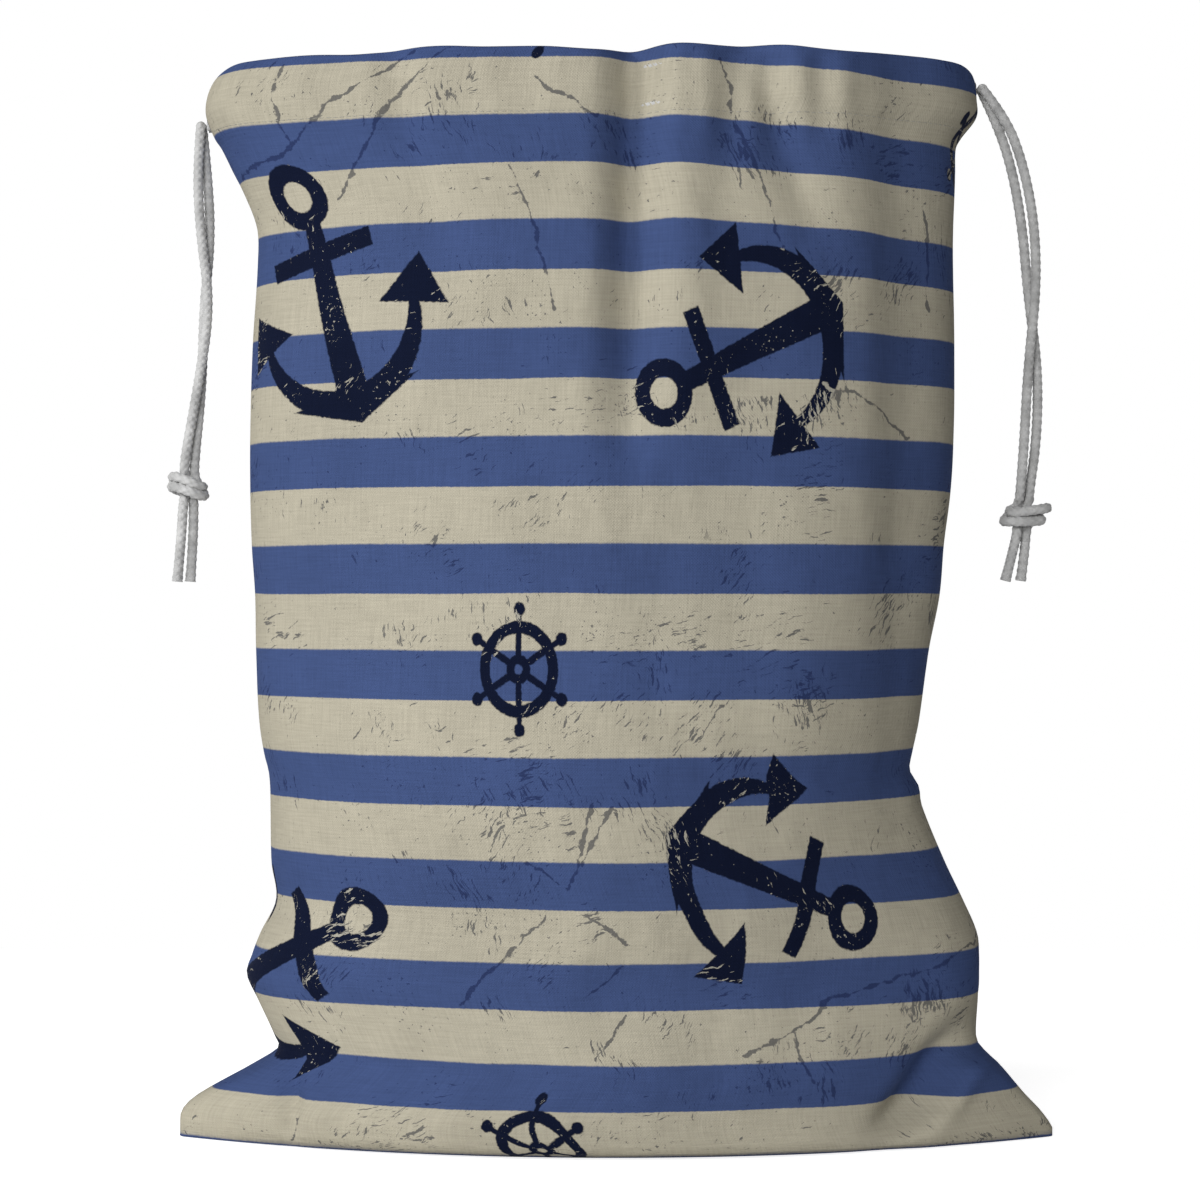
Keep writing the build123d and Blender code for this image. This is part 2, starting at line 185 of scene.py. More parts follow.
def braided_tube(name, line, radius, flare=0.0, steps=STEPS_PER_CELL, domed=False):
    """A braided cord as a closed tube round a line, with a square-cut end. domed rounds off its start."""
    places, length = evenly(line, CELL_LENGTH / steps)
    segments = CELLS_AROUND * steps
    shrink = [1.0] * len(places)
    if domed:
        start, heading = places[0]
        for back in DOME_STEPS:
            places.insert(0, (start - heading * radius * back, heading))
            shrink.insert(0, sqrt(1 - back**2))
    shape = bmesh.new()
    bmesh.ops.create_grid(shape, x_segments=segments, y_segments=len(places) - 1, size=0.5)
    uv = shape.loops.layers.uv.new("cord")
    rings = [[None] * (segments + 1) for _ in places]
    for vertex in shape.verts:
        column = round((vertex.co.x + 0.5) * segments)
        row = round((vertex.co.y + 0.5) * (len(places) - 1))
        rings[row][column] = vertex
    for face in shape.faces:
        for loop in face.loops:
            loop[uv].uv = ((loop.vert.co.x + 0.5), (loop.vert.co.y + 0.5) * length)
    across = Vector((0, 1, 0))
    for row, (place, direction) in enumerate(places):
        across = (across - direction * across.dot(direction)).normalized()
        other = direction.cross(across)
        along = length * row / (len(places) - 1)
        swell = 1 + flare * max(0.0, 1 - (length - along) / FLARE_LENGTH) ** 2
        for column, vertex in enumerate(rings[row]):
            turn = column / segments
            out = radius * swell * shrink[row] * (PLAIT_FOOT + PLAIT_RISE * braid_height(turn % 1.0, along))
            vertex.co = place + (across * cos(2 * pi * turn) + other * sin(2 * pi * turn)) * out
    bmesh.ops.remove_doubles(shape, verts=shape.verts, dist=1e-6)
    rim = [edge for edge in shape.edges if edge.is_boundary]
    bmesh.ops.holes_fill(shape, edges=rim, sides=0)
    bmesh.ops.recalc_face_normals(shape, faces=shape.faces)
    return new_piece(shape, name), length


def adjust(node, values):
    """Sets a node's own values, by the names of its sockets."""
    for key, value in values.items():
        node.inputs[key].default_value = value


def new_material(name, values):
    """A node material with its tree and its shader, and the shader's even values."""
    material = bpy.data.materials.new(name)
    material.use_nodes = True
    tree = material.node_tree
    shader = tree.nodes["Principled BSDF"]
    adjust(shader, values)
    return material, tree, shader


def noise_node(tree, vector, scale, detail=2.0, roughness=0.5, output="Fac"):
    """Plain noise, 0 to 1."""
    node = tree.nodes.new("ShaderNodeTexNoise")
    adjust(node, {"Scale": scale, "Detail": detail, "Roughness": roughness})
    tree.links.new(vector, node.inputs["Vector"])
    return node.outputs[output]


def mottle(tree, shader, grain, *shades):
    """Colours the surface from one shade to another as the grain grows; each is a share of it and a colour."""
    tint = tree.nodes.new("ShaderNodeValToRGB")
    for element, (position, colour) in zip(tint.color_ramp.elements, shades):
        element.position = position
        element.color = (*colour, 1)
    tree.links.new(grain, tint.inputs["Fac"])
    tree.links.new(tint.outputs["Color"], shader.inputs["Base Color"])


def emboss(tree, shader, height, strength, distance):
    """Makes the surface look raised where the height is greater."""
    bump = tree.nodes.new("ShaderNodeBump")
    adjust(bump, {"Strength": strength, "Distance": distance})
    tree.links.new(height, bump.inputs["Height"])
    tree.links.new(bump.outputs["Normal"], shader.inputs["Normal"])


cotton, tree, shader = new_material(
    "braided_cotton", {"Roughness": 0.9, "Specular IOR Level": 0.2, "Sheen Weight": 0.3})
place = tree.nodes.new("ShaderNodeTexCoord").outputs["Object"]
mottle(tree, shader, noise_node(tree, place, 120.0), (0.3, (0.38, 0.38, 0.377)), (0.7, (0.55, 0.55, 0.546)))
emboss(tree, shader, noise_node(tree, place, 900.0, 4.0), strength=0.35, distance=0.0004)

for side, exit_place in (("left", LEFT_EXIT), ("right", RIGHT_EXIT)):
    for depth in ("front", "back"):
        name = f"{side}_{depth}"
        line = cord_line(name)
        piece, length = braided_tube(name + "_cord", line, CORD_DIAMETER / 2, flare=END_FLARE, domed=True)
        piece.data.materials.append(cotton)
        knot_x, knot_z = KNOTS[name][0]
        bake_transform(piece)
        replaced = [f"{name}_strand", f"{name}_tail"]
        if depth == "front":
            replaced.append(f"{side}_knot")
        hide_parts(*replaced)


# ----------------------------------
# The sack: a front and a back of printed cotton cloth, cut 500 mm wide, sewn up the sides and along the base.
# The mouth's hem is turned in and sewn down, so each piece runs from the bottom seam up to the rim, over it
# and down inside to the foot of the casing.
# ----------------------------------
CLOTH = 0.0008
RIM = 0.610
CASING_FOOT = 0.570
FLAT_WIDTH = 0.500
# height, left edge, right edge
EDGES = [
    (0.000, -0.2500, 0.2500), (0.005, -0.2498, 0.2500), (0.015, -0.2487, 0.2430), (0.024, -0.2395, 0.2344),
    (0.042, -0.2069, 0.2190), (0.051, -0.1931, 0.2090), (0.057, -0.1945, 0.2063), (0.081, -0.2057, 0.2074),
    (0.094, -0.2114, 0.2074), (0.104, -0.2086, 0.2074), (0.117, -0.2035, 0.2063), (0.136, -0.1945, 0.1983),
    (0.158, -0.1973, 0.1879), (0.190, -0.1976, 0.1748), (0.201, -0.1977, 0.1730), (0.210, -0.1985, 0.1679),
    (0.219, -0.2007, 0.1690), (0.238, -0.2034, 0.1730), (0.278, -0.2051, 0.1788), (0.309, -0.2057, 0.1851),
    (0.339, -0.2080, 0.1876), (0.370, -0.2091, 0.1914), (0.404, -0.2091, 0.1930), (0.451, -0.2080, 0.1931),
    (0.500, -0.2050, 0.1925), (0.520, -0.2056, 0.1928), (0.541, -0.2137, 0.1937), (0.551, -0.2189, 0.1940),
    (0.565, -0.2258, 0.1945), (0.571, -0.2298, 0.1975), (0.583, -0.2345, 0.2063), (0.593, -0.2340, 0.2063),
    (0.602, -0.2300, 0.2055), (0.610, -0.2220, 0.2035),
]
# height, half depth, radius of the sides
DEPTHS = [
    (0.000, 0.080, 0.006), (0.023, 0.090, 0.014), (0.050, 0.097, 0.048), (0.105, 0.101, 0.060),
    (0.162, 0.118, 0.067), (0.212, 0.127, 0.072), (0.296, 0.119, 0.068), (0.393, 0.112, 0.064),
    (0.496, 0.110, 0.060), (0.540, 0.099, 0.057), (0.570, 0.089, 0.055), (0.610, 0.084, 0.055),
]


def along_table(table, height):
    """Smooth values from a table of heights, on a curve through its rows."""
    height = min(max(height, table[0][0]), table[-1][0])
    index = max(i for i in range(len(table) - 1) if table[i][0] <= height)
    before = table[max(index - 1, 0)]
    low, high = table[index], table[index + 1]
    after = table[min(index + 2, len(table) - 1)]
    span = high[0] - low[0]
    t = (height - low[0]) / span
    values = []
    for k in range(1, len(low)):
        rise_low = (high[k] - before[k]) / (high[0] - before[0]) * span
        rise_high = (after[k] - low[k]) / (after[0] - low[0]) * span
        values.append((2 * t**3 - 3 * t**2 + 1) * low[k] + (t**3 - 2 * t**2 + t) * rise_low
                      + (3 * t**2 - 2 * t**3) * high[k] + (t**3 - t**2) * rise_high)
    return values


def oval_point(across, height):
    """A place on the front half of the sack's outline, by its share of the way round from left to right,
    as x, depth and the outward direction."""
    left, right = along_table(EDGES, height)
    depth, side = along_table(DEPTHS, height)
    middle, half = (left + right) / 2, (right - left) / 2
    side = min(side, depth * 0.9)
    reach, rest = half - side, depth - side
    centre = (reach**2 - rest**2) / (2 * rest)
    large = depth + centre
    turn = atan2(centre, reach)
    side_length, front_length = side * turn, large * (pi - 2 * turn)
    distance = across * (2 * side_length + front_length)
    if distance < side_length:
        angle = pi + distance / side
        return middle - reach + side * cos(angle), side * sin(angle), cos(angle), sin(angle)
    if distance < side_length + front_length:
        angle = pi + turn + (distance - side_length) / large
        return middle + large * cos(angle), centre + large * sin(angle), cos(angle), sin(angle)
    angle = 2 * pi - turn + (distance - side_length - front_length) / side
    return middle + reach + side * cos(angle), side * sin(angle), cos(angle), sin(angle)


HILL_BASE = 2.718


def hill(value, centre, width):
    """A smooth hill of height 1."""
    return HILL_BASE ** -(((value - centre) / width) ** 2)


def ramp(value, low, high):
    """0 below low, 1 above high, smooth between."""
    t = min(max((value - low) / (high - low), 0.0), 1.0)
    return t * t * (3 - 2 * t)


# Folds that hang from the mouth: how far each stands out, where it lies and how it leans for each metre above
# a height, that height, its width, and the heights where it begins and where it is whole.
VALLEY = (-0.0175, 0.008, 0.02, 0.50, 0.013, 0.32, 0.52)
VALLEY_RIDGE = (0.0060, 0.037, 0.0, 0.50, 0.016, 0.36, 0.52)
RIGHT_CREASE = (-0.0060, 0.085, -0.30, 0.57, 0.012, 0.44, 0.56)
LEFT_CREASE = (-0.0030, -0.115, -0.25, 0.57, 0.012, 0.42, 0.52)
BACK_VALLEY = (-0.0045, -0.050, 0.0, 0.50, 0.016, 0.30, 0.50)
# Slack of the whole cloth, as noise: how far it stands out, its waves to the metre across, where in the noise
# it is read, and its waves to the metre up.
FRONT_SLACK = [(0.0042, 9, 2.0, 5), (0.0018, 28, 7.0, 15), (0.0005, 80, 12.0, 45)]
BACK_SLACK = [(0.0030, 9, 31.0, 5), (0.0010, 30, 43.0, 16)]
# The line along which the lower right corner folds: a point of it on the base, and its run across and up.
CORNER_X, CORNER_RUN_X, CORNER_RUN_Z, CORNER_RUN = 0.163, 0.041, 0.055, 0.0686
SHOULDER_X, SHOULDER_BEFORE, SHOULDER_PAST = 0.126, 0.050, 0.023


def hanging_fold(x, z, fold):
    """How far one hanging fold stands out."""
    out, place, lean, level, width, low, high = fold
    return out * hill(x, place + lean * (z - level), width) * ramp(z, low, high)


def near_rim(z):
    """1 over the casing, 0 at the rim and well below the casing."""
    return ramp(z, 0.535, 0.575) * ramp(-z, -0.612, -0.600)


def front_folds(x, z):
    """How far the front cloth stands out of its plain outline: soft folds, puckers and creases."""
    # the long valley from the rim down the middle, with a soft ridge beside it
    out = hanging_fold(x, z, VALLEY)
    out += hanging_fold(x, z, VALLEY_RIDGE)
    # puckers along the casing, and the creases that run down from it
    out += 0.0016 * sin(x * 2 * pi / 0.024 + 1.2) * ramp(x, 0.02, 0.05) * ramp(-x, -0.15, -0.12) * near_rim(z)
    out += 0.0008 * sin(x * 2 * pi / 0.037 + 0.4) * ramp(-x, 0.02, 0.06) * near_rim(z)
    out += hanging_fold(x, z, RIGHT_CREASE)
    out += hanging_fold(x, z, LEFT_CREASE)
    # the crease where the left corner folds away from the body, and the dent over the right corner
    out += -0.0130 * hill(x, -0.182, 0.0055) * ramp(-z, -0.068, -0.030)
    out += 0.0050 * hill(x, -0.166, 0.0100) * ramp(-z, -0.075, -0.030)
    off_line = ((x - CORNER_X) * CORNER_RUN_Z - z * CORNER_RUN_X) / CORNER_RUN
    out += -0.0340 * hill(off_line, -0.013, 0.013) * ramp(-z, -0.092, -0.050)
    out += 0.0090 * hill(off_line, 0.006, 0.007) * ramp(-z, -0.080, -0.050)
    # the front stays flat as far as a soft shoulder near the right side, and turns away quickly past it
    shoulder_width = SHOULDER_BEFORE if x < SHOULDER_X else SHOULDER_PAST
    out += 0.0150 * hill(x, SHOULDER_X, shoulder_width) * ramp(z, 0.14, 0.28)
    # slack in the lower body and in the cloth as a whole
    out += 0.0035 * hill(z, 0.118, 0.022) * hill(x, -0.02, 0.12)
    for size, across, seed, up in FRONT_SLACK:
        out += size * noise.noise(Vector((x * across, seed, z * up)))
    return out


def back_folds(x, z):
    """The same for the back cloth, which is smoother."""
    out = hanging_fold(x, z, BACK_VALLEY)
    out += 0.0015 * sin(x * 2 * pi / 0.027) * ramp(x, -0.14, -0.10) * ramp(-x, -0.10, -0.06) * near_rim(z)
    for size, across, seed, up in BACK_SLACK:
        out += size * noise.noise(Vector((x * across, seed, z * up)))
    return out


RIM_DIP, RIM_DIP_WIDTH = 0.008, 0.05
OPENING_HALF_HEIGHT = 0.0048
OPENING_SHARE = 0.013           # half the opening's width, as a share of the way round
OPENING_REACH = 0.07            # the cloth is drawn aside this far from the seam


def rim_height(across):
    """The rim dips a little at the side seams, where the casing ends."""
    return RIM - RIM_DIP * (hill(across, 0.0, RIM_DIP_WIDTH) + hill(across, 1.0, RIM_DIP_WIDTH)) \
        + 0.0010 * sin(across * 21 + 0.7) + 0.0006 * sin(across * 47)


def parted(across, height):
    """The share of the way round, moved off the side seams where the cords leave, to make an opening there."""
    for seam, middle in ((0.0, LEFT_EXIT[1]), (1.0, RIGHT_EXIT[1])):
        rise = (height - middle) / OPENING_HALF_HEIGHT
        if abs(rise) < 1 and abs(across - seam) < OPENING_REACH:
            gap = OPENING_SHARE * sqrt(1 - rise**2)
            distance = gap + abs(across - seam) * (OPENING_REACH - gap) / OPENING_REACH
            return distance if seam == 0.0 else 1 - distance
    return across


def wall_point(across, height, folds, inset=0.0, opening=True):
    """A place on the front wall, as x, y, z; inset is how far inside the cloth's face it lies."""
    if opening:
        across = parted(across, height)
    x, y, out_x, out_y = oval_point(across, height)
    quiet = sin(pi * min(max(across, 0), 1)) ** 0.6     # the folds die out towards the side seams
    out = folds(x, height) * quiet * ramp(height, 0.0, 0.03) - inset
    return Vector((x + out_x * out, min(y + out_y * out, 0.0), height))


LOW_ROWS, TOP_ROWS = 146, 58    # rows of the wall below and above the height where the casing's puckers begin
BASE_ROWS, WALL_ROWS, HEM_ROWS, COLUMNS = 16, LOW_ROWS + TOP_ROWS, 22, 176
WALL_START, TOP_START = 0.005, 0.556
BASE_DEPTH = 0.080
BASE_LIFT, EDGE_LIFT = 0.0004, 0.0045   # the base is off the floor, and rounds up to the wall
RIM_ROUND = 0.0015              # the fold at the rim rises this much over the wall
RIM_TURN, HEM_TURN = 0.003, 0.006       # cloth in the fold, and down to where the hem has moved fully in
HEM_START, HEM_END = 0.0005, 0.0012     # the hem's distance from the wall at the rim and at its sewn edge
HEM_ROOM = 0.0082               # and over the cords
RIM_OPENING = 0.002             # an opening that reaches the rim goes on this far past it


def cloth_point(across, row, folds):
    """A place on the whole cloth, from the bottom seam (row 0) to the hem's edge, and its cut height."""
    if row <= BASE_ROWS:
        share = row / BASE_ROWS
        x, y, _, _ = oval_point(across, 0.0)
        lift = BASE_LIFT + EDGE_LIFT * ramp(share, 0.80, 1.0) ** 2
        edge = wall_point(across, WALL_START, folds)
        return Vector((x + (edge.x - x) * share, edge.y * share, lift)), BASE_DEPTH * share
    rim = rim_height(across)
    if row <= BASE_ROWS + WALL_ROWS:
        low = min((row - BASE_ROWS) / LOW_ROWS, 1.0)
        top = max((row - BASE_ROWS - LOW_ROWS) / TOP_ROWS, 0.0)
        height = WALL_START + (TOP_START - WALL_START) * low + (rim - RIM_ROUND - TOP_START) * top
        return wall_point(across, height, folds), BASE_DEPTH + height
    share = (row - BASE_ROWS - WALL_ROWS) / HEM_ROWS
    down = share * (rim - CASING_FOOT)
    shoulder = min(down / HEM_TURN, 1.0)
    foot = ramp(share, 0.80, 1.0)
    inset = HEM_START + HEM_ROOM * sin(shoulder * pi / 2) ** 0.8 * (1 - foot) + HEM_END * foot
    height = rim - RIM_ROUND + RIM_ROUND * sin(min(down / RIM_TURN, 1.0) * pi) - max(down - RIM_TURN, 0.0)
    place = wall_point(across, min(height, rim), folds, inset, opening=down < RIM_OPENING)
    return Vector((place.x, place.y, height)), BASE_DEPTH + rim + down


def make_cloth(name, side, folds, start):
    """One cloth of the sack. side is 1 for the front and -1 for the back; start is where its print begins."""
    rows = BASE_ROWS + WALL_ROWS + HEM_ROWS
    shape = bmesh.new()
    bmesh.ops.create_grid(shape, x_segments=COLUMNS, y_segments=rows, size=0.5)
    uv = shape.loops.layers.uv.new("cut")
    places = {}
    for vertex in shape.verts:
        across, row = vertex.co.x + 0.5, round((vertex.co.y + 0.5) * rows)
        place, cut_height = cloth_point(across, row, folds)
        cut_place = (start + across * FLAT_WIDTH * side, cut_height)
        places[vertex] = (Vector((place.x, place.y * side, place.z)), cut_place)
    for face in shape.faces:
        for loop in face.loops:
            loop[uv].uv = places[loop.vert][1]
    for vertex, (place, _) in places.items():
        vertex.co = place
    bmesh.ops.recalc_face_normals(shape, faces=shape.faces)
    probe = max(shape.faces, key=lambda face: abs(face.calc_center_median().y))
    if probe.normal.y * side > 0:
        bmesh.ops.reverse_faces(shape, faces=shape.faces)
    piece = new_piece(shape, name)
    wall = piece.modifiers.new("thickness", "SOLIDIFY")
    wall.thickness = CLOTH
    wall.offset = -1.0
    wall.material_offset = 1
    return piece


def fill(tree, socket, value):
    """Gives a socket its value: another socket to follow, or a number or a row of numbers."""
    if isinstance(value, bpy.types.NodeSocket):
        tree.links.new(value, socket)
    else:
        socket.default_value = value


def math_node(tree, operation, first, second=None, clamp=False):
    """One sum on the node tree; first and second are sockets or numbers."""
    node = tree.nodes.new("ShaderNodeMath")
    node.operation = operation
    node.use_clamp = clamp
    for socket, value in zip(node.inputs, (first, second)):
        if value is not None:
            fill(tree, socket, value)
    return node.outputs[0]


def plus(tree, first, second):
    return math_node(tree, "ADD", first, second)


def minus(tree, first, second):
    return math_node(tree, "SUBTRACT", first, second)


def times(tree, first, second):
    return math_node(tree, "MULTIPLY", first, second)


def vector_node(tree, operation, *values, scale=None):
    """One sum with places; values are sockets or rows of three numbers."""
    node = tree.nodes.new("ShaderNodeVectorMath")
    node.operation = operation
    for socket, value in zip(node.inputs, values):
        fill(tree, socket, value)
    if scale is not None:
        fill(tree, node.inputs["Scale"], scale)
    return node.outputs["Value" if operation in ("DOT_PRODUCT", "DISTANCE") else "Vector"]


def mapped(tree, vector, scale, kind="POINT", slant=0.0):
    """A place, stretched a different amount each way, and turned by slant degrees."""
    node = tree.nodes.new("ShaderNodeMapping")
    node.vector_type = kind
    adjust(node, {"Rotation": (0, 0, radians(slant)), "Scale": scale})
    tree.links.new(vector, node.inputs["Vector"])
    return node.outputs["Vector"]


def plane_node(tree, x, y, row):
    """row[0] * x + row[1] * y + row[2]."""
    return plus(tree, plus(tree, times(tree, x, row[0]), times(tree, y, row[1])), row[2])


def distance_node(tree, x, y, centre_x=0.0, centre_y=0.0):
    """How far (x, y) lies from a centre."""
    across, up = minus(tree, x, centre_x), minus(tree, y, centre_y)
    return math_node(tree, "SQRT", plus(tree, times(tree, across, across), times(tree, up, up)))


# A shape is a distance from its edge, negative inside: the highest of several is the part that they share, and
# the lowest is all of them together.
def highest(tree, *values):
    result = values[0]
    for other in values[1:]:
        result = math_node(tree, "MAXIMUM", result, other)
    return result


def lowest(tree, *values):
    result = values[0]
    for other in values[1:]:
        result = math_node(tree, "MINIMUM", result, other)
    return result


def band(tree, value, middle, half):
    """A band as a shape: where the value is within half of the middle."""
    return minus(tree, math_node(tree, "ABSOLUTE", minus(tree, value, middle)), half)


def faded(tree, value, low, high):
    """1 at low and under, 0 at high and over."""
    node = tree.nodes.new("ShaderNodeMapRange")
    node.interpolation_type = "SMOOTHSTEP"
    adjust(node, {"From Min": low, "From Max": high, "To Min": 1.0, "To Max": 0.0})
    tree.links.new(value, node.inputs["Value"])
    return node.outputs["Result"]


def rising(tree, value, low, high):
    """0 at low and under, 1 at high and over."""
    return faded(tree, times(tree, value, -1.0), -high, -low)


def uneven(tree, vector, scale, detail=2.0):
    """Noise about 0, from -0.5 to 0.5."""
    return minus(tree, noise_node(tree, vector, scale, detail), 0.5)


def shape_group(name):
    """An empty node group that turns a place (X, Y) on a print's own grid into a distance from its edge."""
    group = bpy.data.node_groups.new(name, "ShaderNodeTree")
    group.interface.new_socket(name="X", in_out="INPUT", socket_type="NodeSocketFloat")
    group.interface.new_socket(name="Y", in_out="INPUT", socket_type="NodeSocketFloat")
    group.interface.new_socket(name="Distance", in_out="OUTPUT", socket_type="NodeSocketFloat")
    source, result = group.nodes.new("NodeGroupInput"), group.nodes.new("NodeGroupOutput")
    return group, source.outputs["X"], source.outputs["Y"], result.inputs["Distance"]


# A plain anchor, ring up, with its crown at the grid's origin: it is 266 units tall. The arms lie between two
# circles, one a little higher than the other, and each fluke is a triangle.
anchor, x, y, result = shape_group("anchor_print")
aside = math_node(anchor, "ABSOLUTE", x)
ring = band(anchor, distance_node(anchor, x, y, 0, 233), 24.5, 9)
stock = highest(anchor, minus(anchor, aside, 62), band(anchor, y, 171, 10))
shank = highest(anchor, plane_node(anchor, aside, y, (1, 0.040, -18)), band(anchor, y, 105, 103))
arms = highest(anchor, minus(anchor, distance_node(anchor, x, y, 0, 96), 93),
               minus(anchor, 84, distance_node(anchor, x, y, 0, 115)), minus(anchor, y, 96))
crown = highest(anchor, plane_node(anchor, aside, y, (0.45, -1, -6)), minus(anchor, y, 26))
fluke = highest(anchor, plane_node(anchor, aside, y, (-0.562, 0.827, -56.8)),
                plane_node(anchor, aside, y, (0.972, 0.235, -135)),
                plane_node(anchor, aside, y, (-0.312, -0.950, 115)))
anchor.links.new(lowest(anchor, ring, stock, shank, arms, crown, fluke), result)

# A plain ship's wheel with six spokes, its hub at the grid's origin. Each place is measured along the nearest
# spoke (reach) and off it (off_spoke); the rim is 98 units across and the handles end 68 from the hub.
wheel, x, y, result = shape_group("wheel_print")
reach = distance_node(wheel, x, y)
angle = math_node(wheel, "ARCTAN2", x, y)
nearest_spoke = times(wheel, math_node(wheel, "ROUND", math_node(wheel, "DIVIDE", angle, pi / 3)), pi / 3)
turned = minus(wheel, angle, nearest_spoke)
off_spoke = math_node(wheel, "ABSOLUTE", times(wheel, reach, math_node(wheel, "SINE", turned)))
rim = band(wheel, reach, 42.5, 6.5)
hub = highest(wheel, minus(wheel, reach, 15), minus(wheel, 5, reach))
spoke = highest(wheel, minus(wheel, off_spoke, 3.8), minus(wheel, reach, 45), minus(wheel, 12, reach))
neck = highest(wheel, minus(wheel, off_spoke, 3.2), minus(wheel, reach, 66), minus(wheel, 47, reach))
handle = lowest(wheel, neck, minus(wheel, distance_node(wheel, off_spoke, reach, 0, 61), 7))
wheel.links.new(lowest(wheel, rim, hub, spoke, handle), result)

# Each print: rows that turn a place on the cut cloth, in metres across and up, into its grid.
ANCHOR_PRINTS = [
    ((1618, 602, -474), (-445, 1720, -788)),
    ((-847, 1642, -578), (-2055, -781, 1204)),
    ((-772, -1577, 634), (1936, -989, -302)),
    ((817, -1654, 272), (1500, 897, -101)),
]
# Each wheel's hub, and how far it leans to the left for each metre up.
WHEEL_CENTRES = [(0.210, 0.350, 0.07), (0.2125, 0.084, 0.20), (0.497, 0.643, 0.0), (0.2155, 0.718, 0.07)]
WHEEL_ACROSS, WHEEL_UP = 2250, 1890

# Long cracks in the print, as lines across the cut cloth.
CRACKS = [
    [(0.147, 0.687), (0.066, 0.634), (0.020, 0.625)], [(0.167, 0.688), (0.116, 0.631), (0.092, 0.608)],
    [(0.073, 0.683), (0.074, 0.644)], [(0.220, 0.673), (0.254, 0.651)], [(0.201, 0.622), (0.223, 0.543)],
    [(0.318, 0.682), (0.334, 0.632), (0.346, 0.576)], [(0.448, 0.607), (0.449, 0.549)],
    [(0.370, 0.504), (0.399, 0.494), (0.431, 0.477)], [(0.251, 0.281), (0.227, 0.232), (0.209, 0.245)],
    [(0.259, 0.276), (0.236, 0.246)], [(0.231, 0.218), (0.252, 0.204)], [(0.208, 0.218), (0.164, 0.167)],
    [(0.255, 0.190), (0.235, 0.171)], [(0.486, 0.198), (0.371, 0.168), (0.345, 0.150), (0.318, 0.140)],
    [(0.348, 0.150), (0.355, 0.122)], [(0.254, 0.163), (0.232, 0.139)], [(0.081, 0.100), (0.076, 0.082)],
]
# Short strokes where the ink has come away: slant in degrees, width, length, and the least noise that shows.
STROKES = [(12.0, 0.0019, 0.011, 0.735), (-38.0, 0.0017, 0.009, 0.740), (-75.0, 0.0020, 0.012, 0.745)]
STROKE_EDGE = 0.03
STROKE_PATCHES = 1.05           # how much the strokes keep to their patches
FLECK_LEAST, FLECK_PATCHES = 0.68, 0.35
CROOK = 0.012                   # how far the cracks and strokes wander
CRACK_WIDTH = 0.0068
CRACK_BREAK = 0.385             # a crack is broken off where the noise is under this
CRACK_EDGE = 0.0003
STRIPE_PERIOD = 0.0574
STRIPE_FOOT = 0.1087            # foot of a blue stripe, as a cut height
BLUE_SHARE = 0.475
STRIPE_EDGE = 0.012             # soft part of a stripe's edge, as a share of the period
STRIPE_RAGGED, STRIPE_WAVER = 0.0007, 0.0016    # fine and slow unevenness of a stripe's edge
PRINT_RAGGED, PRINT_EDGE = 3.0, 1.0             # the same of an anchor's or a wheel's, in its own units
PERIODS_BELOW = 10.0            # keeps the count of periods above 0 down to the cloth's foot
BOW, BOW_SPAN = 0.0057, 0.5742  # the stripes are lower in the middle of the sack's height
MOUTH_DROOP = 0.009             # and at the right of the mouth
BASE_SHIFT = 0.008              # and under the base
WEAVE_PITCH = 0.0016
WEAVE_HEIGHT, SLUB_HEIGHT, CREASE_HEIGHT = 0.00006, 0.00022, 0.0016
SLUB_TONE, STAIN_TONE = 0.30, 0.28              # how much they lighten and darken the cloth
PLAIN_CLOTH, RUBBED_CLOTH = (0.400, 0.370, 0.290, 1), (0.135, 0.130, 0.118, 1)
BLUE_INK, RUBBED_BLUE = (0.046, 0.073, 0.178, 1), (0.022, 0.035, 0.100, 1)
NAVY_INK, RUBBED_NAVY = (0.0036, 0.0062, 0.020, 1), (0.330, 0.315, 0.265, 1)
INSIDE_CLOTH = (0.33, 0.31, 0.26, 1)


def blend_colour(tree, factor, first, second):
    """The first colour where the factor is 0 and the second where it is 1."""
    mix = tree.nodes.new("ShaderNodeMix")
    mix.data_type = "RGBA"
    for key, value in (("Factor", factor), ("A", first), ("B", second)):
        fill(tree, mix.inputs[key], value)
    return mix.outputs["Result"]


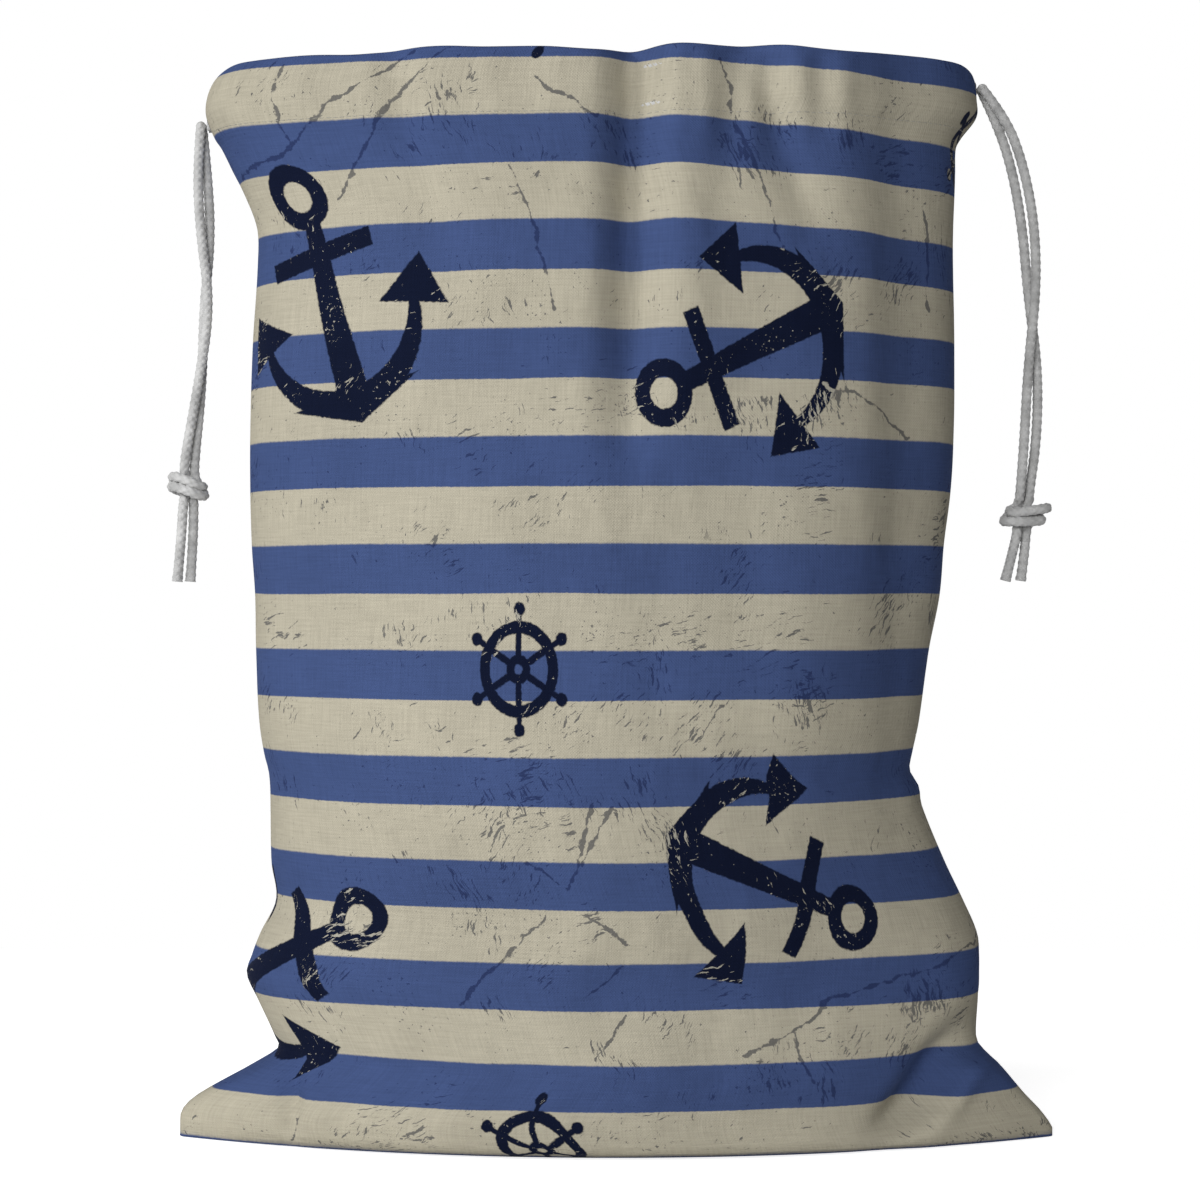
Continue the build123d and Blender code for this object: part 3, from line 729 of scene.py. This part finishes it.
def printed_material(name, worn):
    """The printed cloth: navy anchors and wheels over blue and cream stripes, cracked and rubbed. worn is the
    share of plain cloth that shows through the ink."""
    material, tree, shader = new_material(name, {"Roughness": 0.92, "Specular IOR Level": 0.06})
    cut = tree.nodes.new("ShaderNodeUVMap")
    cut.uv_map = "cut"
    place = cut.outputs["UV"]
    wander = vector_node(tree, "SUBTRACT", noise_node(tree, place, 55.0, 4.0, output="Color"), (0.5, 0.5, 0.5))
    crooked = vector_node(tree, "MULTIPLY_ADD", wander, (CROOK, CROOK, 0.0), place)
    split = tree.nodes.new("ShaderNodeSeparateXYZ")
    tree.links.new(place, split.inputs[0])
    along, up = split.outputs["X"], split.outputs["Y"]
    ragged = uneven(tree, place, 420.0)

    # stripes: nearly even, drawn down a little at the right of the mouth where the cloth is gathered
    bowed = times(tree, math_node(tree, "SINE", times(tree, minus(tree, up, STRIPE_FOOT), pi / BOW_SPAN)), BOW)
    droop = times(tree, rising(tree, along, 0.25, 0.45), rising(tree, up, 0.50, 0.65))
    under = faded(tree, up, 0.070, 0.082)
    level = plus(tree, plus(tree, up, bowed),
                 plus(tree, times(tree, droop, MOUTH_DROOP), times(tree, under, BASE_SHIFT)))
    level = plus(tree, level, times(tree, ragged, STRIPE_RAGGED))
    level = plus(tree, level, times(tree, uneven(tree, place, 14.0, 1.0), STRIPE_WAVER))
    turns = math_node(tree, "DIVIDE", minus(tree, level, STRIPE_FOOT), STRIPE_PERIOD)
    phase = math_node(tree, "FRACT", plus(tree, turns, PERIODS_BELOW))
    blue_here = times(tree, faded(tree, phase, BLUE_SHARE - STRIPE_EDGE, BLUE_SHARE + STRIPE_EDGE),
                      rising(tree, phase, 0.001, 0.014))

    # prints: the same on the back, half a width round
    wrapped = minus(tree, along, times(tree, math_node(tree, "GREATER_THAN", along, FLAT_WIDTH), FLAT_WIDTH))
    prints = [(anchor, plane_node(tree, wrapped, up, row_x), plane_node(tree, wrapped, up, row_y))
              for row_x, row_y in ANCHOR_PRINTS]
    for centre_across, centre_up, lean in WHEEL_CENTRES:
        row = (WHEEL_ACROSS, WHEEL_ACROSS * lean, -WHEEL_ACROSS * (centre_across + lean * centre_up))
        height = times(tree, minus(tree, up, centre_up), WHEEL_UP)
        prints.append((wheel, plane_node(tree, wrapped, up, row), height))
    shapes = []
    for group, x, y in prints:
        node = tree.nodes.new("ShaderNodeGroup")
        node.node_tree = group
        tree.links.new(x, node.inputs["X"])
        tree.links.new(y, node.inputs["Y"])
        shapes.append(node.outputs["Distance"])
    navy_edge = plus(tree, lowest(tree, *shapes), times(tree, ragged, PRINT_RAGGED))
    navy_here = faded(tree, navy_edge, -PRINT_EDGE, PRINT_EDGE)

    # the long cracks: how far each place is from the nearest part of one
    distances = []
    for line in CRACKS:
        for (ax, ay), (bx, by) in zip(line, line[1:]):
            run = Vector((bx - ax, by - ay, 0))
            from_start = vector_node(tree, "SUBTRACT", crooked, (ax, ay, 0))
            share = vector_node(tree, "DOT_PRODUCT", from_start, run / run.length_squared)
            share = math_node(tree, "ADD", share, 0.0, clamp=True)      # no further than the run's two ends
            foot = vector_node(tree, "SCALE", run, scale=share)
            distances.append(vector_node(tree, "DISTANCE", from_start, foot))
    width = times(tree, minus(tree, noise_node(tree, place, 130.0, 4.0, 0.65), CRACK_BREAK), CRACK_WIDTH)
    cracked = faded(tree, minus(tree, lowest(tree, *distances), width), -CRACK_EDGE, CRACK_EDGE)
    # the short strokes and the flecks, each in patches
    for slant, thin, long, least in STROKES:
        strokes = noise_node(tree, mapped(tree, crooked, (thin, long, 1.0), "TEXTURE", slant), 1.0, 3.0, 0.65)
        patch = times(tree, uneven(tree, place, 19.0 + slant / 20), STROKE_PATCHES)
        cracked = highest(tree, cracked, rising(tree, plus(tree, strokes, patch), least, least + STROKE_EDGE))
    patch = times(tree, uneven(tree, place, 26.0), FLECK_PATCHES)
    flecks = plus(tree, noise_node(tree, place, 430.0, 3.0, 0.6), patch)
    cracked = highest(tree, cracked, rising(tree, flecks, FLECK_LEAST, FLECK_LEAST + STROKE_EDGE))

    ink = blend_colour(tree, blue_here, PLAIN_CLOTH, BLUE_INK)
    ink = blend_colour(tree, navy_here, ink, NAVY_INK)
    rubbed = blend_colour(tree, blue_here, RUBBED_CLOTH, RUBBED_BLUE)
    rubbed = blend_colour(tree, navy_here, rubbed, RUBBED_NAVY)
    surface = blend_colour(tree, cracked, ink, rubbed)
    surface = blend_colour(tree, worn, surface, INSIDE_CLOTH)

    # slubs in the yarn, one way and the other, and slow stains
    slubs = minus(tree, plus(tree, noise_node(tree, mapped(tree, place, (900.0, 45.0, 1.0)), 1.0),
                             noise_node(tree, mapped(tree, place, (45.0, 900.0, 1.0)), 1.0)), 1.0)
    stains = uneven(tree, place, 16.0, 4.0)
    tone = plus(tree, 1.0, plus(tree, times(tree, slubs, SLUB_TONE), times(tree, stains, STAIN_TONE)))
    tree.links.new(vector_node(tree, "SCALE", surface, scale=tone), shader.inputs["Base Color"])

    # the weave stands out of the cloth, over small creases
    warp = math_node(tree, "SINE", times(tree, along, 2 * pi / WEAVE_PITCH))
    weft = math_node(tree, "SINE", times(tree, up, 2 * pi / WEAVE_PITCH))
    height = plus(tree, times(tree, times(tree, warp, weft), WEAVE_HEIGHT), times(tree, slubs, SLUB_HEIGHT))
    height = plus(tree, height, times(tree, noise_node(tree, place, 48.0, 3.0), CREASE_HEIGHT))
    emboss(tree, shader, height, strength=0.9, distance=1.0)
    return material


printed = printed_material("printed_cloth", worn=0.0)
plain = printed_material("cloth_inside", worn=0.62)

for name, side, folds, start in (("front_cloth", 1, front_folds, 0.0), ("back_cloth", -1, back_folds, 1.0)):
    piece = make_cloth(name, side, folds, start)
    piece.data.materials.append(printed)
    piece.data.materials.append(plain)
    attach(piece, "sack")
    panel = name.split("_")[0]
    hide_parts(f"{panel}_panel", f"{panel}_casing")


# ----------------------------------
# The drawcords inside the casing. Each goes in at its own opening, all the way round the mouth between the
# wall and the hem, and out again at the same opening.
# ----------------------------------
CHANNEL_MIDDLE = 0.00435        # from the wall's face
CHANNEL_START, CHANNEL_RUN = 0.030, 0.940       # shares of the way round, from side seam to side seam
CHANNEL_STEPS = 150
STUB_GAP = 0.0011               # between the held cord's end and the strand that hangs from it
STUB_TURN = [(0.0, 0.0), (0.0030, 0.0002), (0.0052, 0.0018)]    # inwards and aside, from the stub's end


def mirrored(place):
    """The same place on the back."""
    return Vector((place.x, -place.y, place.z))


def channel_point(share, height, folds):
    """A place on the middle of the channel."""
    return wall_point(share, height, folds, CHANNEL_MIDDLE, opening=False)


for side, (exit_x, exit_height) in (("left", LEFT_EXIT), ("right", RIGHT_EXIT)):
    sign = -1 if side == "left" else 1
    stub_end = exit_x - sign * (CORD_DIAMETER / 2 + STUB_GAP)
    shares = [CHANNEL_START + CHANNEL_RUN * number / CHANNEL_STEPS for number in range(CHANNEL_STEPS + 1)]
    if side == "right":
        shares.reverse()
    stub = [Vector((stub_end - sign * inward, -STRAND_SIDE - aside, exit_height)) for inward, aside in STUB_TURN]
    front = [channel_point(share, exit_height, front_folds) for share in shares]
    far_side = channel_point(1.0 if side == "left" else 0.0, exit_height, front_folds)
    back = [mirrored(channel_point(share, exit_height, back_folds)) for share in reversed(shares)]
    line = stub + front + [far_side] + back + [mirrored(place) for place in reversed(stub)]
    piece, _ = braided_tube(side + "_held_cord", line, CORD_DIAMETER / 2, steps=4)
    piece.data.materials.append(cotton)
    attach(piece, "sack")
    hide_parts(f"{side}_drawcord_run")


# ----------------------------------
# Seam allowances: the raw edges of both cloths, turned inside up each side and along the base.
# ----------------------------------
SEAM_WIDTH = 0.010
SEAM_FOOT, SEAM_TOP = 0.0128, 0.5690
SEAM_INSET = 0.0014             # from the sack's edge to the seam's stitched side
BOTTOM_END_INSET = 0.0022
raw, tree, shader = new_material("seam_cloth", {"Roughness": 0.95, "Specular IOR Level": 0.15})
place = tree.nodes.new("ShaderNodeTexCoord").outputs["Object"]
mottle(tree, shader, noise_node(tree, place, 260.0, 4.0), (0.35, (0.27, 0.26, 0.23)), (0.70, (0.42, 0.39, 0.32)))
emboss(tree, shader, noise_node(tree, place, 700.0, 3.0), strength=0.6, distance=0.0004)


def seam_place(which, share, inward):
    """A place on a seam allowance: share of the way along it, and how far in from the sack's edge."""
    if which == "bottom":
        height = SEAM_INSET + inward
        left, right = along_table(EDGES, height)
        x = left + BOTTOM_END_INSET + (right - left - 2 * BOTTOM_END_INSET) * share
        return Vector((x, 0.0003 * sin(x * 90), height))
    height = SEAM_FOOT + (SEAM_TOP - SEAM_FOOT) * share
    left, right = along_table(EDGES, height)
    ripple = 0.0006 * sin(height * 130) * inward / SEAM_WIDTH
    x = left + SEAM_INSET + inward if which == "left" else right - SEAM_INSET - inward
    return Vector((x, ripple, height))


for which, node in (("left", "left_side_seam"), ("right", "right_side_seam"), ("bottom", "bottom_seam")):
    shape = bmesh.new()
    bmesh.ops.create_grid(shape, x_segments=6, y_segments=160, size=0.5)
    for vertex in shape.verts:
        fray = 0.0005 * noise.noise(Vector((vertex.co.y * 90, 5.0, 1.0))) if vertex.co.x > 0.4 else 0.0
        vertex.co = seam_place(which, vertex.co.y + 0.5, (vertex.co.x + 0.5) * SEAM_WIDTH + fray)
    bmesh.ops.recalc_face_normals(shape, faces=shape.faces)
    piece = new_piece(shape, which + "_seam_allowance")
    doubled = piece.modifiers.new("two cloths", "SOLIDIFY")
    doubled.thickness = 2 * CLOTH
    doubled.offset = 0.0
    piece.data.materials.append(raw)
    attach(piece, "sack")
    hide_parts(node)


# ----------------------------------
# Thread: lockstitch down the seam allowances and round the casing's foot, and bar tacks beside the openings.
# ----------------------------------
THREAD = 0.00045
STITCH, STITCH_PITCH = 0.0030, 0.0040
SEAM_LINE = 0.003               # the row of stitches, in from the seam's edge
SEWN_START, SEWN_RUN = 0.012, 0.976     # shares of a seam's length
SIDE_SEWN, BOTTOM_SEWN = 0.552, 0.470
CASING_STITCHES = 118
CASING_LINE = CASING_FOOT + 0.003
TACK_PASSES, TACK_PITCH, TACK_LENGTH = 15, 0.0006, 0.0022
TACK_BELOW, TACK_ABOVE = 0.0042, 0.0022         # from the middle of the opening
TACK_SHARE = 0.0175             # off the side seam, as a share of the way round
STEP_AHEAD = 0.002              # to the place that gives a stitch its direction
thread, tree, shader = new_material("thread", {"Roughness": 0.8})
place = tree.nodes.new("ShaderNodeTexCoord").outputs["Object"]
mottle(tree, shader, noise_node(tree, place, 500.0), (0.0, (0.26, 0.25, 0.22)), (1.0, (0.44, 0.42, 0.36)))


def sew(name, node, places, length, thickness):
    """Short rounded stitches, each at a place and along a direction."""
    shape = bmesh.new()
    for middle, direction in places:
        turn = direction.to_track_quat("X", "Z").to_matrix().to_4x4()
        size = Matrix.Diagonal((length, thickness, thickness, 1.0))
        bmesh.ops.create_uvsphere(shape, u_segments=8, v_segments=6, radius=0.5,
                                  matrix=Matrix.Translation(middle) @ turn @ size)
    piece = new_piece(shape, name)
    piece.data.materials.append(thread)
    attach(piece, "sack")
    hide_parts(node)


for which, total in (("left", SIDE_SEWN), ("right", SIDE_SEWN), ("bottom", BOTTOM_SEWN)):
    count = int(total / STITCH_PITCH)
    places = []
    for number in range(count):
        share = SEWN_START + SEWN_RUN * (number + 0.5) / count
        here, ahead = seam_place(which, share, SEAM_LINE), seam_place(which, share + STEP_AHEAD, SEAM_LINE)
        places.append((here + Vector((0, -CLOTH - THREAD / 3, 0)), ahead - here))
    sew(which + "_seam_thread", which + "_seam_stitches", places, STITCH, THREAD)

for panel, side, folds in (("front", 1, front_folds), ("back", -1, back_folds)):
    places = []
    for number in range(CASING_STITCHES):
        share = CHANNEL_START + CHANNEL_RUN * (number + 0.5) / CASING_STITCHES
        here = wall_point(share, CASING_LINE, folds, -THREAD / 4)
        ahead = wall_point(share + STEP_AHEAD, CASING_LINE, folds, -THREAD / 4)
        direction = Vector((ahead.x - here.x, (ahead.y - here.y) * side, 0))
        places.append((Vector((here.x, here.y * side, here.z)), direction))
    sew(panel + "_casing_thread", panel + "_casing_stitches", places, STITCH, THREAD)

for side, (_, exit_height) in (("left", LEFT_EXIT), ("right", RIGHT_EXIT)):
    share = TACK_SHARE if side == "left" else 1 - TACK_SHARE
    places = []
    for sign, folds in ((1, front_folds), (-1, back_folds)):
        for number in range(TACK_PASSES):
            height = min(exit_height - TACK_BELOW + TACK_PITCH * number, exit_height + TACK_ABOVE)
            here = wall_point(share, height, folds, -THREAD / 4, opening=False)
            ahead = wall_point(share + 0.003, height, folds, -THREAD / 4, opening=False)
            direction = Vector((ahead.x - here.x, (ahead.y - here.y) * sign, 0))
            places.append((Vector((here.x, here.y * sign, height)), direction))
    sew(side + "_bar_tack_thread", side + "_bar_tacks", places, TACK_LENGTH, THREAD)


# ----------------------------------
# The floor and the light. The paper and the sky look plain white, but give the sack only a soft light.
# ----------------------------------
FLOOR_HALF = 0.9
PAPER_GLOW = 0.76               # added where the paper is looked at
SKY_LIGHT, SKY_GLOW = 0.15, 0.85        # the sky's own light, and what is added where it is looked at
LAMPS = [                       # name, place, size, power
    ("key", (-2.5, -1.2, 1.4), 0.9, 46),
    ("fill", (-0.6, -2.6, 0.9), 1.2, 47),
]
LAMP_AIM = Vector((0, 0, 0.3))


def seen_directly(tree):
    """1 where the background is looked at, or mirrored or looked at through something; 0 where it gives light."""
    ray = tree.nodes.new("ShaderNodeLightPath")
    return highest(tree, *(ray.outputs[f"Is {kind} Ray"] for kind in ("Camera", "Glossy", "Transmission")))


shape = bmesh.new()
bmesh.ops.create_grid(shape, x_segments=1, y_segments=1, size=FLOOR_HALF)
floor_piece = new_piece(shape, "floor", smooth=False)
paper, tree, shader = new_material(
    "white_paper", {"Base Color": (0.9, 0.9, 0.9, 1), "Roughness": 1.0, "Emission Color": (1, 1, 1, 1)})
tree.links.new(times(tree, seen_directly(tree), PAPER_GLOW), shader.inputs["Emission Strength"])
floor_piece.data.materials.append(paper)

for name, place, size, power in LAMPS:
    lamp = bpy.data.lights.new(name, "AREA")
    lamp.size = size
    lamp.energy = power
    holder = bpy.data.objects.new(name, lamp)
    holder.location = place
    holder.rotation_euler = (LAMP_AIM - Vector(place)).to_track_quat("-Z", "Y").to_euler()
    scene.collection.objects.link(holder)

world = bpy.data.worlds.new("world")
scene.world = world
world.use_nodes = True
tree = world.node_tree
sky = tree.nodes["Background"]
sky.inputs["Color"].default_value = (1, 1, 1, 1)
tree.links.new(plus(tree, times(tree, seen_directly(tree), SKY_GLOW), SKY_LIGHT), sky.inputs["Strength"])
